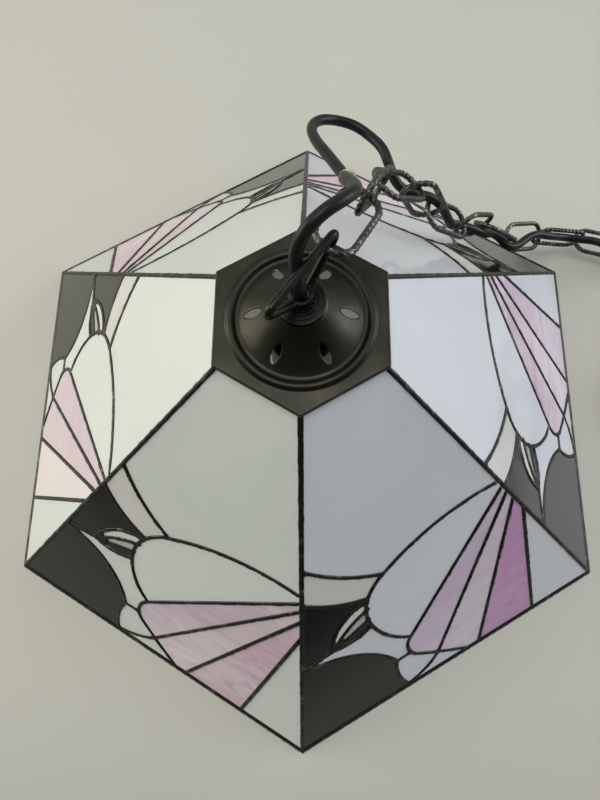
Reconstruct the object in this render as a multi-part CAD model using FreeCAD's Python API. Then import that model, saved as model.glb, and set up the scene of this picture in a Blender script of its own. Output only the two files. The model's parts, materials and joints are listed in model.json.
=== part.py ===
import FreeCAD, Part
import math
import os

# Pool table lamp: a six-sided leaded-glass shade hung from a vase cap, loop, chain and flex.
# The origin is on the shade's axis at the rim, +Z up. The shade stands on its rim at z = 0.
# The chain and the flex lie over the shade towards +X +Y and along the surface it stands on.
# Every size is in millimetres.

V = FreeCAD.Vector
UP = V(0, 0, 1)
CENTRE = V(0, 0, 0)

# Shade
SIDES = 6
FIRST_CORNER_DEG = -90.0
RIM_CORNER_R = 280.0
CROWN_CORNER_R = 56.0
SHADE_HEIGHT = 210.0
GLASS = 3.0
SOLDER_PROUD = 0.9
SEAM_WIDTH = 3.2
JOINT_BLOB = 0.2
PANEL_OVERRUN = 12.0
RIDGE_HALF_WIDTH = 1.8
RIM_CAME_HEIGHT = 3.0
CROWN_BASE_RISE = 1.0

# Vase cap and what it clamps
CAP_SHEET = 1.0
FLANGE_RISE = 5.5
LIP_DROP = 3.5
LIP_CLEARANCE = 0.5
BEAD_R = 40.0
BEAD_HALF_WIDTH = 2.5
BEAD_RISE = 2.2
DISH_EDGE_R = 35.0
TRUMPET_MID_R = 24.5
TRUMPET_MID_RISE = 7.6
NECK_R = 14.0
NECK_RISE = 19.5
VENT_COUNT = 6
VENT_R = 26.5
VENT_LENGTH = 11.0
VENT_WIDTH = 4.6
CHECK_RING_R = 14.0
CHECK_RING_HEIGHT = 2.5
LOCK_WASHER_R = 7.6
LOCK_WASHER_HEIGHT = 2.0
LOCK_TEETH = 16
LOCK_TOOTH_DEPTH = 0.9

# Nipple, wheel, washer and clamping nut
NIPPLE_R = 5.0
NIPPLE_BORE_R = 4.0
NIPPLE_CLEARANCE = 0.25
NIPPLE_IN_BOSS = 4.0
WHEEL_SHEET = 2.0
WHEEL_HUB_R = 12.0
WHEEL_WINDOW_R = 34.0
WHEEL_SPOKE_HALF_DEG = 9.0
WASHER_R = 12.0
WASHER_HEIGHT = 1.5
NUT_ACROSS_FLATS = 14.0
NUT_HEIGHT = 5.0

# Boss and triangular hanging loop
BOSS_R = 6.5
BOSS_HEIGHT = 6.5
BOSS_MOUTH_R = 4.4
LOOP_WIRE = 4.5
LOOP_BAR_RISE = 27.5
LOOP_HALF_WIDTH = 31.4
LOOP_BAR_SHIFT = 2.5
LOOP_ARM_START_R = 5.5
LOOP_ARM_START_RISE = 3.0
LOOP_CORNER_R = 3.5
LOOP_DIRECTION_DEG = 53.0

# E27 lampholder
HOLDER_GAP = 1.0
ENTRY_R = 8.0
ENTRY_HEIGHT = 7.5
HOLDER_R = 20.5
HOLDER_WALL = 2.5
HOLDER_ROUND = 2.0
HOLDER_CAP_HEIGHT = 20.0
SKIRT_LENGTH = 46.0
INSULATOR_HEIGHT = 18.0
LAMP_THREAD_R = 13.35
SHELL_WALL = 0.6
SHELL_LENGTH = 25.0
SHELL_SEAT = 3.0
CONTACT_HEAD_R = 4.5
CONTACT_HEAD_HEIGHT = 1.5
CONTACT_STEM_R = 2.5
CONTACT_STEM_LENGTH = 9.0
CONTACT_CLEARANCE = 0.3
CONTACT_TRAVEL = 1.5
CONTACT_ROOM = 4.5
TERMINAL_OFFSET = 9.0
TERMINAL_R = 2.0
TERMINAL_HEIGHT = 3.0
SIDE_CONTACT_SHEET = 0.8
SIDE_CONTACT_WIDTH = 5.0
SIDE_CONTACT_DROP = 12.0
GRUB_R = 1.5
GRUB_LENGTH = 4.0

# Flex
FLEX_D = 7.0
CORE_COUNT = 3
CORE_D = 2.2
CORE_SPREAD = 1.8
CORE_STRAIGHT = 4.0
FLEX_STRIP_DROP = 6.0
FLEX_EXIT_RISE = 2.0
COIL_CENTRE = (335.0, 15.0)
COIL_INNER_R = 30.0
COIL_OUTER_R = 44.0
COIL_LAYERS = 2
TIE_SHEET = 1.0
TIE_FROM_DEG = -100.0
TIE_SWEEP_DEG = 14.0
TAPE_D = 10.4
TAPE_LENGTH = 12.0
BARE_LENGTH = 9.0

# Chain: plain oval links, joined bow to bow
LINK_WIRE = 4.5
LINK_WIDTH = 27.0
LINK_PITCH = 45.0
LINK_CLEARANCE = 0.5
FIRST_FREE_LINK = 11

# A bent bar: the share of a run its arcs may use, and how far its volume may be from the ideal
ARC_SHARE = 0.45
VOLUME_MARGIN = 0.02

# Chain joints, from the hanging loop to the free end; links are marched from each to the next
CHAIN_GUIDES = [
    (14, 18, 261), (37, 61, 244), (46, 83, 218), (78, 109, 179), (91, 113, 144),
    (131, 124, 105), (149, 141, 83), (176, 147, 55), (222, 165, 26), (256, 166, 18),
    (304, 157, 14), (347, 163, 14), (390, 173, 14), (429, 194, 14), (467, 218, 14),
]
# Roll of each link about its own length: 0 lies flat, 90 stands on edge
LINK_ROLLS_DEG = [9, -78, 5, -71, 12, 94, -44, 38, -91, 0, 90, 0, 90, 0]

# Flex: the points of its route from above the boss to where its coil begins
FLEX_ROUTE = [
    (0, 0, 251), (-2, 4, 261), (-2, 10, 271), (3, 16, 280), (12, 23, 284), (22, 31, 282), (28, 42, 273),
    (22, 61, 255), (24, 72, 240), (27, 84, 220), (15, 112, 208), (7, 131, 198), (4, 149, 189),
    (11, 160, 183), (23, 165, 176), (36, 163, 173), (47, 154, 172), (54, 143, 175), (58, 132, 173),
    (63, 123, 165), (73, 120, 157), (96, 120, 151), (112, 116, 121), (116, 128, 106), (134, 134, 91),
    (150, 133, 81), (163, 142, 69), (183, 135, 50), (206, 156, 45), (223, 157, 38), (240, 162, 28),
    (257, 160, 27), (270, 159, 27), (289, 148, 30), (306, 144, 15), (318, 135, 8.5), (333, 126, 4.6),
    (351, 113, 3.6), (366, 94, 3.6), (373, 69, 3.8), (375.5, 41, 4.2), (375.5, 15, 4.5),
]
TAPE_AFTER_POINT = 9

# The flex's free end, from its coil to where it is stripped
FLEX_TAIL = [(375.5, 15, 11.5), (375.5, -12, 11.5), (375, -29, 8.5), (373.5, -45, 5.2), (369.5, -60, 4.4)]

# Leading seams of one panel. Each point is (u, v): u runs from -1 on the left ridge to +1 on the
# right ridge, v from 0 on the rim to 1 at the crown. Two points make a line, three an arc.
SEAMS = [
    ((-1.04, 0.640), (-0.644, 0.553), (-0.256, 0.483)),
    ((-1.04, 0.543), (-0.714, 0.474), (-0.421, 0.433)),
    ((1.03, 0.557), (0.244, 0.540), (-0.256, 0.483)),
    ((-0.256, 0.483), (-0.421, 0.433), (-0.447, 0.344)),
    ((-0.447, 0.344), (-0.331, 0.257), (-0.190, 0.2025)),
    ((1.02, 0.543), (-0.190, 0.2025)),
    ((1.02, 0.521), (-0.055, 0.070)),
    ((1.02, 0.491), (0.171, -0.020)),
    ((1.02, 0.446), (0.566, -0.020)),
    ((-0.190, 0.2025), (-0.229, 0.159), (-0.169, 0.112)),
    ((-0.169, 0.112), (-0.0225, 0.0595), (0.171, -0.006)),
    ((-0.225, 0.140), (-0.321, 0.138)),
    ((-1.02, 0.309), (-0.596, 0.2606), (-0.321, 0.138)),
    ((-0.321, 0.138), (-0.331, 0.077), (-0.255, -0.012)),
    ((-0.282, 0.014), (-0.154, 0.035), (-0.055, 0.070)),
    ((-0.432, 0.423), (-0.670, 0.397), (-0.753, 0.325)),
    ((-0.443, 0.397), (-0.609, 0.371), (-0.743, 0.325)),
    ((-0.450, 0.360), (-0.590, 0.343), (-0.734, 0.325)),
    ((-0.443, 0.332), (-0.574, 0.316), (-0.751, 0.323)),
    ((-0.751, 0.324), (-1.02, 0.3125)),
]

# A point inside each pane of a panel, in the same (u, v)
PANES = {
    "crown_pane": (0.00, 0.75),
    "strip_pane": (-0.70, 0.515),
    "wing_pane": (0.00, 0.40),
    "ray_1_pane": (0.33, 0.295),
    "ray_2_pane": (0.44, 0.217),
    "ray_3_pane": (0.63, 0.175),
    "corner_pane": (0.85, 0.08),
    "upper_black_pane": (-0.80, 0.42),
    "lower_black_pane": (-0.65, 0.12),
    "outer_leaf_pane": (-0.547, 0.4005),
    "inner_leaf_pane": (-0.527, 0.370),
    "leaf_base_pane": (-0.499, 0.338),
    "stem_pane": (-0.552, 0.280),
    "oval_pane": (-0.23, 0.084),
    "rim_sliver_pane": (-0.088, 0.026),
}

STEP_DEG = 360.0 / SIDES
HALF_STEP = math.radians(STEP_DEG / 2)
SHADE_TAPER = (RIM_CORNER_R - CROWN_CORNER_R) / SHADE_HEIGHT
PANEL_RUN = (RIM_CORNER_R - CROWN_CORNER_R) * math.cos(HALF_STEP)
SLANT = math.hypot(PANEL_RUN, SHADE_HEIGHT)
NORMAL_OUT = SHADE_HEIGHT / SLANT
NORMAL_UP = PANEL_RUN / SLANT
RIM_HALF_SIDE = RIM_CORNER_R * math.sin(HALF_STEP)
CROWN_HALF_SIDE = CROWN_CORNER_R * math.sin(HALF_STEP)
SOLDER_INNER = -(GLASS + SOLDER_PROUD)

CROWN_BASE_Z = SHADE_HEIGHT + CROWN_BASE_RISE
FLANGE_TOP_Z = SHADE_HEIGHT + FLANGE_RISE
CROWN_TOP_Z = FLANGE_TOP_Z - CAP_SHEET
NECK_TOP_Z = FLANGE_TOP_Z + NECK_RISE
CHECK_TOP_Z = NECK_TOP_Z + CHECK_RING_HEIGHT
BOSS_Z = CHECK_TOP_Z + LOCK_WASHER_HEIGHT
NIPPLE_TOP_Z = BOSS_Z + NIPPLE_IN_BOSS
WHEEL_Z = CROWN_BASE_Z
WASHER_Z = WHEEL_Z - WASHER_HEIGHT
NUT_Z = WASHER_Z - NUT_HEIGHT
ENTRY_TOP_Z = NUT_Z - HOLDER_GAP
HOLDER_TOP_Z = ENTRY_TOP_Z - ENTRY_HEIGHT
SKIRT_TOP_Z = HOLDER_TOP_Z - HOLDER_CAP_HEIGHT
INSULATOR_BASE_Z = SKIRT_TOP_Z - INSULATOR_HEIGHT
SHELL_TOP_Z = INSULATOR_BASE_Z + SHELL_SEAT
CONTACT_ROOF_Z = SHELL_TOP_Z + CONTACT_ROOM
CONTACT_Z = CONTACT_ROOF_Z - CONTACT_TRAVEL - CONTACT_HEAD_HEIGHT - CONTACT_CLEARANCE
HOLDER_BORE_R = HOLDER_R - HOLDER_WALL
CAP_DOME_WALL_Z = HOLDER_TOP_Z - HOLDER_WALL
FLEX_CUT_Z = HOLDER_TOP_Z - FLEX_STRIP_DROP
FLEX_EXIT_Z = BOSS_Z + FLEX_EXIT_RISE


def export(node, solids):
    """Writes one node's solids to its STEP file."""
    shape = solids[0] if len(solids) == 1 else Part.Compound(solids)
    shape.exportStep("parts/" + node + ".step")
    volume = sum(solid.Volume for solid in solids)
    print(node, len(solids), "solids", round(volume, 1), "mm3", "valid" if shape.isValid() else "INVALID")


def turned(shape, turns):
    """A copy of a shape, turned about the shade's axis by whole panels."""
    copy = shape.copy()
    copy.rotate(CENTRE, UP, turns * STEP_DEG)
    return copy


def tube(outer_r, inner_r, low_z, high_z):
    """A round tube on the shade's axis."""
    outer = Part.makeCylinder(outer_r, high_z - low_z, V(0, 0, low_z))
    return outer.cut(Part.makeCylinder(inner_r, high_z - low_z, V(0, 0, low_z)))


def prism(points, low_z, height):
    """A straight prism on a closed outline of points in the XY plane."""
    corners = [V(x, y, low_z) for x, y in points]
    return Part.Face(Part.makePolygon(corners + corners[:1])).extrude(V(0, 0, height))


def polygon(corner_r, sides, first_deg):
    """The corners of a regular polygon round the axis."""
    angles = [math.radians(first_deg + 360.0 * k / sides) for k in range(sides)]
    return [(corner_r * math.cos(a), corner_r * math.sin(a)) for a in angles]


def block(low, high):
    """A solid with flat sides between two four-cornered outlines."""
    faces = [Part.Face(Part.makePolygon(ring + ring[:1])) for ring in (low, high)]
    for k in range(4):
        n = (k + 1) % 4
        side = [low[k], low[n], high[n], high[k], low[k]]
        faces.append(Part.Face(Part.makePolygon(side)))
    return Part.makeSolid(Part.makeShell(faces))


def shade_corner_r(z, offset):
    """Corner radius, at height z, of the shade's outer face moved outwards by an offset."""
    return RIM_CORNER_R - z * SHADE_TAPER + offset / NORMAL_OUT / math.cos(HALF_STEP)


def shade_corner(k, z, offset):
    a = math.radians(FIRST_CORNER_DEG + k * STEP_DEG)
    r = shade_corner_r(z, offset)
    return V(r * math.cos(a), r * math.sin(a), z)


def shade_band(low_z, high_z):
    """Six mitred bars that follow the shade all round between two heights."""
    bars = []
    for k in range(SIDES):
        rings = []
        for z in (low_z, high_z):
            outer = [shade_corner(k, z, SOLDER_PROUD), shade_corner(k + 1, z, SOLDER_PROUD)]
            inner = [shade_corner(k + 1, z, SOLDER_INNER), shade_corner(k, z, SOLDER_INNER)]
            rings.append(outer + inner)
        bars.append(block(rings[0], rings[1]))
    return bars


def rim_came():
    """The came round the open edge, soldered into one ring: the shade stands on its flat foot."""
    bars = shade_band(0, RIM_CAME_HEIGHT)
    return bars[0].multiFuse(bars[1:]).removeSplitter()


def panel_placement():
    """Places the first panel: x along the rim, y up the slope, z out of its face."""
    a = math.radians(FIRST_CORNER_DEG + STEP_DEG / 2)
    along = V(-math.sin(a), math.cos(a), 0)
    face = V(NORMAL_OUT * math.cos(a), NORMAL_OUT * math.sin(a), NORMAL_UP)
    slope = face.cross(along)
    foot_r = RIM_CORNER_R * math.cos(HALF_STEP)
    foot = V(foot_r * math.cos(a), foot_r * math.sin(a), 0)
    return FreeCAD.Placement(FreeCAD.Matrix(
        along.x, slope.x, face.x, foot.x,
        along.y, slope.y, face.y, foot.y,
        along.z, slope.z, face.z, foot.z,
        0, 0, 0, 1))


def panel_point(u, v):
    half = RIM_HALF_SIDE + (CROWN_HALF_SIDE - RIM_HALF_SIDE) * v
    return V(u * half, v * SLANT, 0)


def panel_outline(low, high):
    """The panel's slab between its two ridges, from the rim to a little past the crown."""
    taper = (RIM_HALF_SIDE - CROWN_HALF_SIDE) / SLANT
    inset = RIDGE_HALF_WIDTH * math.hypot(1, taper)
    top = SLANT + PANEL_OVERRUN
    corners = []
    for side, y in ((-1, 0), (1, 0), (1, top), (-1, top)):
        half = RIM_HALF_SIDE - taper * y - inset
        corners.append((side * half, y))
    return prism(corners, low, high - low)


def seam_solid(points):
    """One leading seam: a strip of even width along a line or an arc, with a blob at each end."""
    ends = [panel_point(u, v) for u, v in points]
    half = SEAM_WIDTH / 2
    height = SOLDER_PROUD - SOLDER_INNER
    if len(ends) == 2:
        side = (ends[1] - ends[0]).cross(UP).normalize() * half
        corners = [ends[0] + side, ends[1] + side, ends[1] - side, ends[0] - side]
        edges = Part.makePolygon(corners + corners[:1])
    else:
        bend = Part.Arc(ends[0], ends[1], ends[2]).toShape().Curve
        outer = [bend.Center + (p - bend.Center) * ((bend.Radius + half) / bend.Radius) for p in ends]
        inner = [bend.Center + (p - bend.Center) * ((bend.Radius - half) / bend.Radius) for p in ends]
        edges = Part.Wire([
            Part.Arc(outer[0], outer[1], outer[2]).toShape(),
            Part.LineSegment(outer[2], inner[2]).toShape(),
            Part.Arc(inner[2], inner[1], inner[0]).toShape(),
            Part.LineSegment(inner[0], outer[0]).toShape(),
        ])
    strip = Part.Face(edges).extrude(V(0, 0, height))
    blobs = [Part.makeCylinder(half + JOINT_BLOB, height, p) for p in (ends[0], ends[-1])]
    seam = strip.multiFuse(blobs)
    seam.translate(V(0, 0, SOLDER_INNER))
    return seam


def make_panels():
    """Returns the panes by name and the seam webs, for all six panels."""
    seams = [seam_solid(points) for points in SEAMS]
    web = seams[0].multiFuse(seams[1:])
    web_area = panel_outline(SOLDER_INNER, SOLDER_PROUD)
    glass_area = panel_outline(-GLASS, 0)
    web = web.common(web_area).removeSplitter()
    glass = glass_area.cut(web)
    placement = panel_placement()
    reach = 2 * RIM_CORNER_R
    slice_height = CROWN_BASE_Z - RIM_CAME_HEIGHT
    height_slice = Part.makeBox(2 * reach, 2 * reach, slice_height, V(-reach, -reach, RIM_CAME_HEIGHT))
    panes = {}
    left = list(glass.Solids)
    for name, (u, v) in PANES.items():
        seed = panel_point(u, v) - V(0, 0, GLASS / 2)
        found = [s for s in left if s.isInside(seed, 1e-4, True)]
        if len(found) != 1:
            raise ValueError("no single pane holds the seed of " + name)
        left.remove(found[0])
        found[0].Placement = placement
        panes[name] = found[0].common(height_slice).Solids
    web.Placement = placement
    webs = web.common(height_slice).Solids
    print("panes", len(panes), "left over", [round(s.Volume, 2) for s in left], "webs", len(webs))
    return panes, webs


def ridge_seam():
    """The solder along the first ridge, filling the wedge between two panels."""
    low = shade_corner(0, -PANEL_OVERRUN, 0)
    high = shade_corner(0, SHADE_HEIGHT + PANEL_OVERRUN, 0)
    along = (high - low).normalize()
    normals = []
    for side in (-1, 1):
        a = math.radians(FIRST_CORNER_DEG + side * STEP_DEG / 2)
        normals.append(V(NORMAL_OUT * math.cos(a), NORMAL_OUT * math.sin(a), NORMAL_UP))
    left, right = normals
    into_left = left.cross(along).normalize()
    into_right = along.cross(right).normalize()
    if into_left.dot(left - right) < 0:
        into_left = into_left * -1
        into_right = into_right * -1
    crest = (left + right).normalize()
    spread = crest.dot(left)
    section = [
        into_left * RIDGE_HALF_WIDTH + left * SOLDER_PROUD,
        crest * (SOLDER_PROUD / spread),
        into_right * RIDGE_HALF_WIDTH + right * SOLDER_PROUD,
        into_right * RIDGE_HALF_WIDTH + right * SOLDER_INNER,
        crest * (SOLDER_INNER / spread),
        into_left * RIDGE_HALF_WIDTH + left * SOLDER_INNER,
    ]
    corners = [low + p for p in section]
    bar = Part.Face(Part.makePolygon(corners + corners[:1])).extrude(high - low)
    reach = 2 * RIM_CORNER_R
    slice_height = CROWN_BASE_Z - RIM_CAME_HEIGHT
    return bar.common(Part.makeBox(2 * reach, 2 * reach, slice_height, V(-reach, -reach, RIM_CAME_HEIGHT)))


def vase_cap():
    """The dished cap: a hexagonal flange with a lip, a bead, a trumpet up to the neck, and vents."""
    top = FLANGE_TOP_Z
    under = CROWN_TOP_Z
    lip_z = top - LIP_DROP
    inner_r = shade_corner_r(lip_z, SOLDER_PROUD) + LIP_CLEARANCE
    outer_r = inner_r + CAP_SHEET / math.cos(HALF_STEP)
    plate = prism(polygon(outer_r, SIDES, FIRST_CORNER_DEG), lip_z, top - lip_z)
    plate = plate.cut(prism(polygon(inner_r, SIDES, FIRST_CORNER_DEG), lip_z, under - lip_z))
    plate = plate.cut(Part.makeCylinder(BEAD_R, 2 * FLANGE_RISE, V(0, 0, under - FLANGE_RISE)))
    bead_in = BEAD_R - BEAD_HALF_WIDTH
    bead_out = BEAD_R + BEAD_HALF_WIDTH
    neck_hole = NIPPLE_R + NIPPLE_CLEARANCE
    neck_in = NECK_R - CAP_SHEET
    neck_under = NECK_TOP_Z - CAP_SHEET
    outline = [
        Part.LineSegment(V(bead_out, 0, under), V(bead_out, 0, top)),
        Part.Arc(V(bead_out, 0, top), V(BEAD_R, 0, top + BEAD_RISE), V(bead_in, 0, top)),
        Part.LineSegment(V(bead_in, 0, top), V(DISH_EDGE_R, 0, top)),
        Part.Arc(
            V(DISH_EDGE_R, 0, top),
            V(TRUMPET_MID_R, 0, top + TRUMPET_MID_RISE),
            V(NECK_R, 0, NECK_TOP_Z)),
        Part.LineSegment(V(NECK_R, 0, NECK_TOP_Z), V(neck_hole, 0, NECK_TOP_Z)),
        Part.LineSegment(V(neck_hole, 0, NECK_TOP_Z), V(neck_hole, 0, neck_under)),
        Part.LineSegment(V(neck_hole, 0, neck_under), V(neck_in, 0, neck_under)),
        Part.Arc(
            V(neck_in, 0, neck_under),
            V(TRUMPET_MID_R - CAP_SHEET / 2, 0, top + TRUMPET_MID_RISE - CAP_SHEET),
            V(DISH_EDGE_R, 0, under)),
        Part.LineSegment(V(DISH_EDGE_R, 0, under), V(bead_out, 0, under)),
    ]
    ring = Part.Face(Part.Wire([edge.toShape() for edge in outline])).revolve(CENTRE, UP, 360)
    cap = plate.fuse(ring)
    half = VENT_LENGTH / 2
    bulge = VENT_WIDTH / 2
    for k in range(VENT_COUNT):
        ends = V(VENT_R - half, 0, 0), V(VENT_R + half, 0, 0)
        side_a = Part.Arc(ends[0], V(VENT_R, -bulge, 0), ends[1]).toShape()
        side_b = Part.Arc(ends[1], V(VENT_R, bulge, 0), ends[0]).toShape()
        vent = Part.Face(Part.Wire([side_a, side_b])).extrude(V(0, 0, NECK_TOP_Z))
        vent.rotate(CENTRE, UP, k * 360.0 / VENT_COUNT)
        cap = cap.cut(vent)
    return cap.removeSplitter()


def lock_washer():
    """A ring with teeth cut square into its edge."""
    hole_r = NIPPLE_R + NIPPLE_CLEARANCE
    ring = tube(LOCK_WASHER_R, hole_r, CHECK_TOP_Z, BOSS_Z)
    notch_width = math.pi * LOCK_WASHER_R / LOCK_TEETH
    for k in range(LOCK_TEETH):
        notch = Part.makeBox(
            2 * LOCK_TOOTH_DEPTH, notch_width, LOCK_WASHER_HEIGHT,
            V(LOCK_WASHER_R - LOCK_TOOTH_DEPTH, -notch_width / 2, CHECK_TOP_Z))
        notch.rotate(CENTRE, UP, k * 360.0 / LOCK_TEETH)
        ring = ring.cut(notch)
    return ring


def shade_wheel():
    """The hexagonal spider that carries the shade by its crown band."""
    top = WHEEL_Z + WHEEL_SHEET
    outer = [shade_corner(k, WHEEL_Z, SOLDER_INNER) for k in range(SIDES)]
    upper = [shade_corner(k, top, SOLDER_INNER) for k in range(SIDES)]
    plate = Part.makeLoft([Part.makePolygon(ring + ring[:1]) for ring in (outer, upper)], True, True)
    hole_base = V(0, 0, WHEEL_Z - WHEEL_SHEET / 2)
    plate = plate.cut(Part.makeCylinder(NIPPLE_R + NIPPLE_CLEARANCE, 2 * WHEEL_SHEET, hole_base))
    sweep = STEP_DEG - 2 * WHEEL_SPOKE_HALF_DEG
    for k in range(SIDES):
        window = Part.makeCylinder(WHEEL_WINDOW_R, WHEEL_SHEET, V(0, 0, WHEEL_Z), UP, sweep)
        window = window.cut(Part.makeCylinder(WHEEL_HUB_R, WHEEL_SHEET, V(0, 0, WHEEL_Z)))
        window.rotate(CENTRE, UP, FIRST_CORNER_DEG + k * STEP_DEG + WHEEL_SPOKE_HALF_DEG)
        plate = plate.cut(window)
    return plate


def clamp_nut():
    corner_r = NUT_ACROSS_FLATS / 2 / math.cos(HALF_STEP)
    nut = prism(polygon(corner_r, SIDES, 0), NUT_Z, NUT_HEIGHT)
    return nut.cut(Part.makeCylinder(NIPPLE_R, NUT_HEIGHT, V(0, 0, NUT_Z)))


def filleted_wire(points, radii):
    """Straight runs joined by tangent arcs of the given radii at the inner points."""
    edges = []
    start = points[0]
    for before, here, after, radius in zip(points, points[1:], points[2:], radii):
        back = (before - here).normalize()
        ahead = (after - here).normalize()
        half = back.getAngle(ahead) / 2
        length = radius / math.tan(half)
        middle = here + (back + ahead).normalize() * (radius / math.sin(half) - radius)
        edges.append(Part.LineSegment(start, here + back * length).toShape())
        edges.append(Part.Arc(here + back * length, middle, here + ahead * length).toShape())
        start = here + ahead * length
    edges.append(Part.LineSegment(start, points[-1]).toShape())
    return Part.Wire(edges)


def swept(wire, radius):
    """A round bar along a wire, from its first point in its first direction."""
    first = wire.Edges[0]
    start = first.valueAt(first.FirstParameter)
    ring = Part.Wire(Part.makeCircle(radius, start, first.tangentAt(first.FirstParameter)))
    bar = wire.makePipeShell([ring], True, False)
    expected = math.pi * radius * radius * wire.Length
    if abs(bar.Volume / expected - 1) > VOLUME_MARGIN:
        raise ValueError("a swept bar has the wrong volume: %.1f for %.1f" % (bar.Volume, expected))
    return bar


def route_radii(points):
    """The largest tangent arc each corner of a route has room for, with a short straight left over."""
    radii = []
    for before, here, after in zip(points, points[1:], points[2:]):
        run = min((here - before).Length, (after - here).Length)
        half_turn = (here - before).getAngle(after - here) / 2
        radii.append(ARC_SHARE * run / math.tan(half_turn))
    return radii


def loop_frame():
    a = math.radians(LOOP_DIRECTION_DEG)
    return V(math.cos(a), math.sin(a), 0)


def hanging_loop():
    """The boss with its triangular wire loop, one piece, bored for the flex."""
    along = loop_frame()
    bar_z = BOSS_Z + LOOP_BAR_RISE
    arm_z = BOSS_Z + LOOP_ARM_START_RISE
    corners = [
        along * LOOP_ARM_START_R + V(0, 0, arm_z),
        along * (LOOP_BAR_SHIFT + LOOP_HALF_WIDTH) + V(0, 0, bar_z),
        along * (LOOP_BAR_SHIFT - LOOP_HALF_WIDTH) + V(0, 0, bar_z),
        along * -LOOP_ARM_START_R + V(0, 0, arm_z),
    ]
    wire = swept(filleted_wire(corners, [LOOP_CORNER_R, LOOP_CORNER_R]), LOOP_WIRE / 2)
    boss = Part.makeCylinder(BOSS_R, BOSS_HEIGHT, V(0, 0, BOSS_Z))
    loop = boss.fuse(wire)
    bore = Part.makeCylinder(NIPPLE_R, NIPPLE_IN_BOSS, V(0, 0, BOSS_Z))
    mouth = Part.makeCylinder(BOSS_MOUTH_R, 2 * BOSS_HEIGHT, V(0, 0, BOSS_Z))
    return loop.cut(bore).cut(mouth).removeSplitter()


def holder_cap():
    """The lampholder's domed cap with its threaded entry and a side hole for the grub screw."""
    dome = tube(HOLDER_R, HOLDER_BORE_R, SKIRT_TOP_Z, CAP_DOME_WALL_Z)
    roof = Part.makeCylinder(HOLDER_R, HOLDER_WALL, V(0, 0, CAP_DOME_WALL_Z))
    half_way = HOLDER_TOP_Z - HOLDER_WALL / 2
    rim = [edge for edge in roof.Edges if edge.Closed and edge.Vertexes[0].Z > half_way]
    roof = roof.makeFillet(HOLDER_ROUND, rim[:1])
    entry = Part.makeCylinder(ENTRY_R, ENTRY_HEIGHT, V(0, 0, HOLDER_TOP_Z))
    shell = dome.fuse(roof).fuse(entry)
    shell = shell.cut(Part.makeCylinder(NIPPLE_R, ENTRY_HEIGHT, V(0, 0, HOLDER_TOP_Z)))
    throat = Part.makeCylinder(BOSS_MOUTH_R, 2 * HOLDER_WALL, V(0, 0, CAP_DOME_WALL_Z - HOLDER_WALL / 2))
    shell = shell.cut(throat)
    return shell.cut(grub_screw_space()).removeSplitter()


def grub_screw_space():
    z = HOLDER_TOP_Z + ENTRY_HEIGHT / 2
    return Part.makeCylinder(GRUB_R, GRUB_LENGTH, V(NIPPLE_R, 0, z), V(1, 0, 0))


def holder_skirt():
    return tube(HOLDER_R, HOLDER_BORE_R, SKIRT_TOP_Z - SKIRT_LENGTH, SKIRT_TOP_Z)


def insulator():
    """The ceramic block in the skirt's top: the shell seats in it, and the contact's stem slides in it."""
    body = Part.makeCylinder(HOLDER_BORE_R, INSULATOR_HEIGHT, V(0, 0, INSULATOR_BASE_Z))
    room = CONTACT_ROOF_Z - INSULATOR_BASE_Z
    body = body.cut(Part.makeCylinder(LAMP_THREAD_R + SHELL_WALL, room, V(0, 0, INSULATOR_BASE_Z)))
    hole_r = CONTACT_STEM_R + CONTACT_CLEARANCE
    return body.cut(Part.makeCylinder(hole_r, CONTACT_STEM_LENGTH, V(0, 0, CONTACT_ROOF_Z)))


def threaded_shell():
    return tube(LAMP_THREAD_R + SHELL_WALL, LAMP_THREAD_R, SHELL_TOP_Z - SHELL_LENGTH, SHELL_TOP_Z)


def centre_contact():
    """The sprung button the lamp presses on, with its guide stem."""
    head = Part.makeCylinder(CONTACT_HEAD_R, CONTACT_HEAD_HEIGHT, V(0, 0, CONTACT_Z))
    stem = Part.makeCylinder(CONTACT_STEM_R, CONTACT_STEM_LENGTH, V(0, 0, CONTACT_Z + CONTACT_HEAD_HEIGHT))
    return head.fuse(stem).removeSplitter()


def side_contact():
    """The strip that feeds the threaded shell, down its outside from the insulator."""
    x = LAMP_THREAD_R + SHELL_WALL
    z = INSULATOR_BASE_Z - SIDE_CONTACT_DROP
    corner = V(x, -SIDE_CONTACT_WIDTH / 2, z)
    return Part.makeBox(SIDE_CONTACT_SHEET, SIDE_CONTACT_WIDTH, SIDE_CONTACT_DROP, corner)


def core_angles():
    return [math.radians(k * 360.0 / CORE_COUNT) for k in range(CORE_COUNT)]


def terminal_screws():
    screws = []
    for a in core_angles():
        place = V(TERMINAL_OFFSET * math.cos(a), TERMINAL_OFFSET * math.sin(a), SKIRT_TOP_Z)
        screws.append(Part.makeCylinder(TERMINAL_R, TERMINAL_HEIGHT, place))
    return screws


def core_wires():
    """The three cores, from the flex's cut end down on to the terminals."""
    wires = []
    for a in core_angles():
        out = V(math.cos(a), math.sin(a), 0)
        foot_z = SKIRT_TOP_Z + TERMINAL_HEIGHT
        points = [
            out * CORE_SPREAD + V(0, 0, FLEX_CUT_Z),
            out * CORE_SPREAD + V(0, 0, FLEX_CUT_Z - CORE_STRAIGHT),
            out * TERMINAL_OFFSET + V(0, 0, foot_z + CORE_STRAIGHT),
            out * TERMINAL_OFFSET + V(0, 0, foot_z),
        ]
        wires.append(swept(filleted_wire(points, route_radii(points)), CORE_D / 2))
    return wires


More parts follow.
